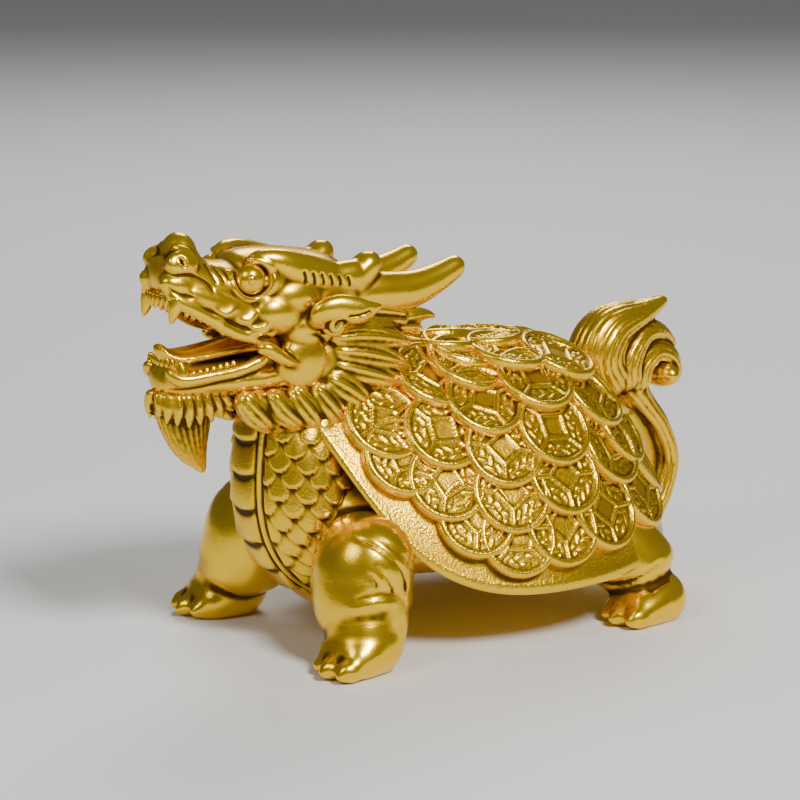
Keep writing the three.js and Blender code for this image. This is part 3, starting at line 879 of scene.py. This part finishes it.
def teeth():
    """Fangs, front teeth and rows of side teeth, each a short tapered limb."""
    def tooth(root, tip, half):
        middle = (np.array(root) + np.array(tip)) / 2
        taper = zip((root, middle, tip), (half, 0.85 * half, 0.3 * half))
        return limb([[*place, size, size] for place, size in taper], 14, 12)
    side = [
        limb([[6, -75.6, 90.4, 1.9, 2.1], [6.3, -76.4, 87.4, 1.5, 1.7], [6.2, -77.6, 84, 0.4, 0.5]], 24, 24),
        limb([[6.8, -75, 69.8, 1.5, 1.6], [7, -75, 72.6, 1.3, 1.4], [6.8, -75.6, 75.2, 0.4, 0.5]], 20, 20),
    ]
    for k in range(7):
        y = -73.6 + 1.75 * k
        z = 86.3 - 0.78 * k
        side.append(tooth([7.4 + 0.16 * k, y, z + 1], [7.4 + 0.16 * k, y - 0.2, z - 0.9], 0.8))
        x, z = 7.4 + 0.12 * k, 70.6 + 0.24 * k
        side.append(tooth([x, y + 1.4, z], [x, y + 1.4, z + 2], 0.9))
    for k in range(3):
        x = 0.9 + 1.75 * k
        side.append(tooth([x, -77.6 + 0.3 * k, 90.4], [x, -78.4 + 0.3 * k, 87.2], 0.9))
        side.append(tooth([x, -76.6 + 0.3 * k, 73], [x, -76.9 + 0.3 * k, 75.4], 0.8))
    return both_sides(side)


# Mane, beard and tail

# Left locks of the mane: the path in side view from root to tip, the distance out and the half-width.
MANE_LOCKS = [
    ([(-37, 80.4), (-30, 79.7), (-22, 78.8), (-14.6, 77.4)], 11.6, 2.3),
    ([(-37, 77.4), (-29, 77), (-20, 75.2), (-12.8, 72.9)], 12.6, 2.8),
    ([(-36.6, 74.4), (-28.4, 72.8), (-20.3, 70.2), (-13.4, 66.6)], 12.8, 3),
    ([(-36.6, 71.2), (-29.1, 68.6), (-21.8, 65.9), (-15.6, 62.9)], 12.8, 3),
    ([(-38.6, 68.4), (-33.5, 64.8), (-29.1, 61.2), (-25.3, 57.3)], 12.8, 3.2),
    ([(-42, 66.4), (-38.6, 61.8), (-35.4, 57.6), (-32.4, 53.9)], 12.4, 3),
    ([(-48, 66.4), (-45, 61.8), (-41.9, 57.6), (-39.5, 54.4)], 12, 2.9),
    ([(-53.4, 66.2), (-50.7, 61.6), (-47, 58), (-43.5, 55)], 11.4, 2.6),
    ([(-60.6, 66), (-57.5, 61.8), (-54.4, 58.2), (-51.8, 55.5)], 9.6, 2.7),
    ([(-35, 72.8), (-27, 70.6), (-19, 67.8), (-14, 65)], 11.2, 2.6),
    ([(-37, 69.4), (-31, 66.4), (-25, 63), (-20.6, 59.8)], 11.2, 2.8),
    ([(-40, 66.4), (-35.6, 62.6), (-32, 58.8), (-29, 55.6)], 11.2, 2.8),
    ([(-45, 66), (-42, 61.6), (-38.8, 57.6), (-36, 54.4)], 10.6, 2.6),
    ([(-50.4, 66), (-47.8, 61.4), (-44.6, 57.8), (-42, 55)], 10.2, 2.6),
    ([(-56.8, 66), (-54, 61.6), (-50.8, 58), (-48, 55.6)], 9.4, 2.6),
]
# Tufts of the fringe under the chin: root and tip in side view and distance out.
FRINGE = [
    ((-78, 67.2), (-79.2, 61), 2), ((-76.8, 67), (-77.8, 59.6), 3.6), ((-75, 66.8), (-75.6, 59), 4.8),
    ((-72.8, 66.8), (-72.6, 58.2), 5.4), ((-70.6, 66.6), (-69.6, 58.6), 5.6),
    ((-68.4, 66.6), (-66.4, 59), 5.8),
    ((-66.2, 66.6), (-63.4, 59.8), 5.8), ((-64.2, 66.6), (-60.6, 61), 5.8),
]


def mane_forms(depth):
    """The locks behind the jaw, the cords and the tuft under the horn, and the mass that they stand on."""
    forms = [
        blob([5.2, -33, 69], [8.6, 14, 12.5]),
        # nape, hanging down between the horns to the shell
        limb([
            [0, -32, 82, 9.5, 5], [0, -23, 77, 9.5, 6], [0, -14, 70, 8.5, 6],
        ], 96, 40, relief=strands(20, depth)),
    ]
    for path, out, half in MANE_LOCKS:
        bow = (-1.2, 0, 0.4, -1.8)
        wide = (0.85, 1.25, 0.9, 0.18)
        thick = (2.4, 2.6, 1.9, 0.6)
        stations = [[out + b, y, z, t, half * w] for (y, z), b, w, t in zip(path, bow, wide, thick)]
        forms.append(limb(stations, 72, 56, 0.15, 0.05, strands(10, 1.15 * depth, 0.6)))
    forms += [
        limb([[12, -27, 83.2, 1.2, 0.8], [11.8, -20.5, 82, 1.4, 0.9], [11, -14.5, 80.6, 1.2, 0.8]]),
        limb([[12.2, -27, 81.2, 1.2, 0.8], [11.8, -20.5, 80, 1.4, 0.9], [11, -14, 78.6, 1.2, 0.8]]),
        limb([
            [9.4, -17, 79.4, 2, 2.2], [9.6, -11.5, 79.6, 2.2, 2], [9.4, -7.4, 79.4, 1.4, 1.2],
            [9.2, -4.1, 78.4, 0.4, 0.4],
        ], relief=strands(7, depth)),
        limb([
            [9.4, -17, 77.4, 2, 1.8], [9.8, -12, 77, 1.8, 1.4], [9.6, -8.4, 76.2, 0.4, 0.4],
        ], relief=strands(7, depth)),
    ]
    return both_sides(forms)


def beard_forms(depth):
    """The beard under the chin and the fringe of short tufts over its root."""
    forms = [limb([
        [0, -71, 67, 6, 8], [0, -70.5, 60, 5, 7], [0, -69, 53, 3.6, 4.6], [0, -66.4, 47.6, 1.6, 1.6],
        [0, -65.6, 45.8, 0.6, 0.6],
    ], 120, 72, 0.1, 0.05, strands(26, 0.7 * depth))]
    tufts = []
    for (y0, z0), (y1, z1), out in FRINGE:
        tufts.append(limb([
            [out - 0.6, y0, z0, 1.3, 1.5], [out + 0.5, 0.6 * y0 + 0.4 * y1, 0.5 * (z0 + z1), 1.2, 1.3],
            [out + 0.3, y1, z1, 0.25, 0.25],
        ], relief=strands(5, 0.7 * depth)))
    return forms + both_sides(tufts)


def tail_forms(depth):
    """The stem up the back of the shell, two locks swept back over it and a curl."""
    return [
        limb([
            [0, 56, 17, 8, 6], [0, 69, 17, 6.5, 5], [0, 76.4, 29, 5, 3.6], [0, 73.6, 39, 4.8, 3.4],
            [0, 67.4, 46.6, 5.2, 4], [0, 61, 54, 6, 6],
        ], 96, 110, 0.15, 0.15, strands(12, depth)),
        limb([
            [0, 60, 50, 7, 7], [0, 53.6, 59, 7.8, 7.4], [0, 57, 66.4, 7, 6.6], [0, 67.4, 70, 4.6, 3.6],
            [0, 77, 73, 1, 1],
        ], 120, 110, 0.15, 0.06, strands(22, depth)),
        limb([
            [0, 62, 50, 7, 6], [0, 61, 58, 7.2, 6], [0, 66, 64.4, 6, 4.4], [0, 73, 64.6, 4, 2.8],
            [0, 80, 59.8, 1, 1],
        ], 110, 110, 0.15, 0.06, strands(18, depth)),
        limb([
            [0, 65, 49, 6.4, 5], [0, 65.4, 56, 6.4, 5], [0, 70.6, 59.8, 5.8, 4], [0, 76, 57.8, 5.2, 3.2],
            [0, 77.6, 53.4, 4.8, 2.4], [0, 75.4, 50.8, 4.4, 2],
        ], 96, 130, 0.12, 0.1, strands(14, depth)),
        blob([0, 74.4, 53.6], [7.6, 3.8, 3.8]),
        limb([[0, 63, 18, 4.4, 9], [0, 66, 28, 4, 8.4], [0, 65.4, 38, 3.6, 6], [0, 61.5, 47, 3.4, 3]]),
    ]


# Operators: one for each piece or group of like pieces, and one for the stage

class FIGURE_OT_body(bpy.types.Operator):
    """Make the belly and the four legs"""

    bl_idname = "figure.body"
    bl_label = "Belly and Legs"

    def execute(self, context):
        points, faces = melted(belly_and_legs(), SKIN_CELL["body"])
        points = relaxed(points, faces, 7)
        points = carved(points, faces, LEG_LINES)
        points[:, 2] = np.maximum(points[:, 2], 0)
        body = add_piece("body", relaxed(points, faces, 1, 0.3), faces)
        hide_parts(CASTING)
        return {"FINISHED"}


class FIGURE_OT_shell(bpy.types.Operator):
    """Make the shell with its rolled rim"""

    bl_idname = "figure.shell"
    bl_label = "Shell"

    def execute(self, context):
        diameter = context.scene.figure_sizes.coin_diameter / MM
        points, faces = shell_skin()
        points = relaxed(points, faces, 18)
        places = [np.vstack(parts) for parts in zip(*all_coin_places(diameter))]
        # Painted shade on the shell near the lower edges of the coins that stand over it.
        painted_shade = sheltered(points, places, diameter, 2.0)
        hollow = np.clip(hollows(points, faces) + 0.26 * painted_shade, 0, 1)
        add_piece("shell", points, faces, hollow, 0.8)
        return {"FINISHED"}


class FIGURE_OT_coins(bpy.types.Operator):
    """Make the coins that cover the shell"""

    bl_idname = "figure.coins"
    bl_label = "Coins"

    def execute(self, context):
        sizes = context.scene.figure_sizes
        diameter = sizes.coin_diameter / MM
        height = sizes.coin_relief / MM
        groups = all_coin_places(diameter)
        every = [np.vstack(parts) for parts in zip(*groups)]
        lists = (FLANK_COINS, FLANK_COINS, [*MIDDLE_COINS, (0, 0, CROWN_TURN)])
        first = 0
        for (name, cells), coins, places in zip(COIN_CELLS.items(), lists, groups):
            points, faces = coin_forms(coins, places, diameter, height, cells)
            own = first + np.arange(len(points)) // (len(points) // len(coins))
            first += len(coins)
            # Painted shade on each coin near the walls of the coins that lie over it.
            painted_shade = sheltered(points, every, diameter, 1.2, own)
            hollow = np.clip(0.12 + 0.62 * hollows(points, faces) + 0.2 * painted_shade, 0, 1)
            add_piece(name, points, faces, hollow, 0.6)
        return {"FINISHED"}


class FIGURE_OT_neck(bpy.types.Operator):
    """Make the neck with its chest plates and scales"""

    bl_idname = "figure.neck"
    bl_label = "Neck and Chest"

    def execute(self, context):
        sizes = context.scene.figure_sizes
        points, faces = neck_skin(sizes.scale_width / MM, sizes.plate_height / MM)
        points = relaxed(points, faces, 1)
        # Painted shade with some grime: darker on the band of chest plates down the front, and a little darker
        # all over.
        painted_shade = 0.06 + 0.1 * step(9, 4, np.abs(points[:, 0]))
        add_piece("neck", points, faces, np.clip(0.8 * hollows(points, faces) + painted_shade, 0, 1), 0.3)
        return {"FINISHED"}


class FIGURE_OT_head(bpy.types.Operator):
    """Make the head with its horns, ears, eyes and teeth"""

    bl_idname = "figure.head"
    bl_label = "Head"

    def execute(self, context):
        points, faces = melted(skull_forms() + both_sides(face_forms()), SKIN_CELL["head"])
        points = relaxed(points, faces, 8)
        points = carved(points, faces, FACE_LINES)
        add_piece("head", relaxed(points, faces, 1, 0.3), faces)
        eyes = both_sides([
            blob([8.5, -57, 92.9], [3.4, 3.7, 3.7], 0, 40, 32),
            blob([11.2, -58.2, 93.2], [0.95, 1.25, 1.35], 0, 24, 16),
        ])
        add_piece("eyes", *joined(eyes))
        add_piece("teeth", *joined(teeth()))
        return {"FINISHED"}


class FIGURE_OT_mane(bpy.types.Operator):
    """Make the mane and the beard"""

    bl_idname = "figure.mane"
    bl_label = "Mane and Beard"

    def execute(self, context):
        depth = context.scene.figure_sizes.strand_depth / MM
        points, faces = melted(mane_forms(depth) + beard_forms(depth), SKIN_CELL["mane"])
        points = relaxed(points, faces, 1)
        # Painted shade: darker down the lower part of the mane and under the chin, and a little darker all
        # over.
        chin = step(-56, -64, points[:, 1]) * step(70, 58, points[:, 2])
        painted_shade = 0.05 + 0.09 * step(72, 56, points[:, 2]) + 0.12 * chin
        add_piece("mane", points, faces, np.clip(hollows(points, faces) + painted_shade, 0, 1))
        return {"FINISHED"}


class FIGURE_OT_tail(bpy.types.Operator):
    """Make the tail"""

    bl_idname = "figure.tail"
    bl_label = "Tail"

    def execute(self, context):
        depth = context.scene.figure_sizes.strand_depth / MM
        points, faces = melted(tail_forms(depth), SKIN_CELL["tail"])
        add_piece("tail", relaxed(points, faces, 1), faces)
        return {"FINISHED"}


CAMERA_PLACE = (0.6172, -0.43985, 0.2204)
CAMERA_LENS = 139.8
# The soft lights: name, place, size and watts. All of them point at the figure's middle.
LIGHTS = (
    ("key", (0.95, -0.05, 0.95), 0.32, 20), ("fill", (0.2, -0.8, 0.75), 0.4, 2.5),
    ("rim", (-0.7, 0.5, 0.8), 0.5, 6),
)
FIGURE_MIDDLE = (0, 0, 0.05)
WORLD_STRENGTH = 0.10
FLOOR_RADIUS = 4
FLOOR_SIDES = 96


def add_light(name, place, size, watts):
    """A square soft light at a place, turned to the figure's middle."""
    lamp = bpy.data.lights.new(name, "AREA")
    lamp.size = size
    lamp.energy = watts
    light = bpy.data.objects.new(name, lamp)
    light.location = place
    light.rotation_euler = (Vector(FIGURE_MIDDLE) - Vector(place)).to_track_quat("-Z", "Y").to_euler()
    bpy.context.collection.objects.link(light)


def add_camera():
    """The camera where the photograph was taken from: 55.1 degrees round from the front and 12.3 up."""
    azimuth, elevation = math.radians(55.1), math.radians(12.3)
    right = Vector((math.cos(azimuth), math.sin(azimuth), 0))
    level = Vector((math.sin(azimuth), -math.cos(azimuth), 0))
    back = level * math.cos(elevation) + Vector((0, 0, math.sin(elevation)))
    lens = bpy.data.cameras.new("camera")
    lens.sensor_width = 36
    lens.lens = CAMERA_LENS
    camera = bpy.data.objects.new("camera", lens)
    turned = Matrix((right, back.cross(right), back)).transposed()
    camera.matrix_world = Matrix.Translation(CAMERA_PLACE) @ turned.to_4x4()
    bpy.context.collection.objects.link(camera)
    bpy.context.scene.camera = camera


class FIGURE_OT_stage(bpy.types.Operator):
    """Make the floor, the lights and the camera"""

    bl_idname = "figure.stage"
    bl_label = "Stage"

    def execute(self, context):
        mesh = bpy.data.meshes.new("studio_floor")
        turn = 2 * np.pi * np.arange(FLOOR_SIDES) / FLOOR_SIDES
        ring = FLOOR_RADIUS * np.stack([np.cos(turn), np.sin(turn), 0 * turn], 1)
        mesh.from_pydata(ring.tolist(), [], [list(range(FLOOR_SIDES))])
        mesh.materials.append(floor_finish())
        floor = bpy.data.objects.new("studio_floor", mesh)
        context.collection.objects.link(floor)
        world = bpy.data.worlds.new("studio")
        world.use_nodes = True
        background = world.node_tree.nodes["Background"]
        background.inputs["Color"].default_value = (1.0, 0.985, 0.96, 1)
        background.inputs["Strength"].default_value = WORLD_STRENGTH
        context.scene.world = world
        for light in LIGHTS:
            add_light(*light)
        add_camera()
        return {"FINISHED"}


class FIGURE_PT_panel(bpy.types.Panel):
    """Sizes, colours and one button for each piece"""

    bl_idname = "FIGURE_PT_panel"
    bl_label = "Dragon Turtle Figure"
    bl_space_type = "VIEW_3D"
    bl_region_type = "UI"
    bl_category = "Figure"

    def draw(self, context):
        for group in (context.scene.figure_sizes, context.scene.figure_colours):
            for name in group.__annotations__:
                self.layout.prop(group, name)
        for operator in OPERATORS:
            self.layout.operator(operator.bl_idname)


OPERATORS = (
    FIGURE_OT_body, FIGURE_OT_shell, FIGURE_OT_coins, FIGURE_OT_neck, FIGURE_OT_head, FIGURE_OT_mane,
    FIGURE_OT_tail, FIGURE_OT_stage,
)
CLASSES = (FigureSizes, FigureColours, *OPERATORS, FIGURE_PT_panel)


def register():
    for item in CLASSES:
        bpy.utils.register_class(item)
    bpy.types.Scene.figure_sizes = PointerProperty(type=FigureSizes)
    bpy.types.Scene.figure_colours = PointerProperty(type=FigureColours)


def unregister():
    del bpy.types.Scene.figure_colours
    del bpy.types.Scene.figure_sizes
    for item in reversed(CLASSES):
        bpy.utils.unregister_class(item)


def main():
    register()
    figure = bpy.ops.figure
    for make in (figure.body, figure.shell, figure.coins, figure.neck, figure.head, figure.mane, figure.tail):
        make()
    figure.stage()


if __name__ == "__main__":
    main()
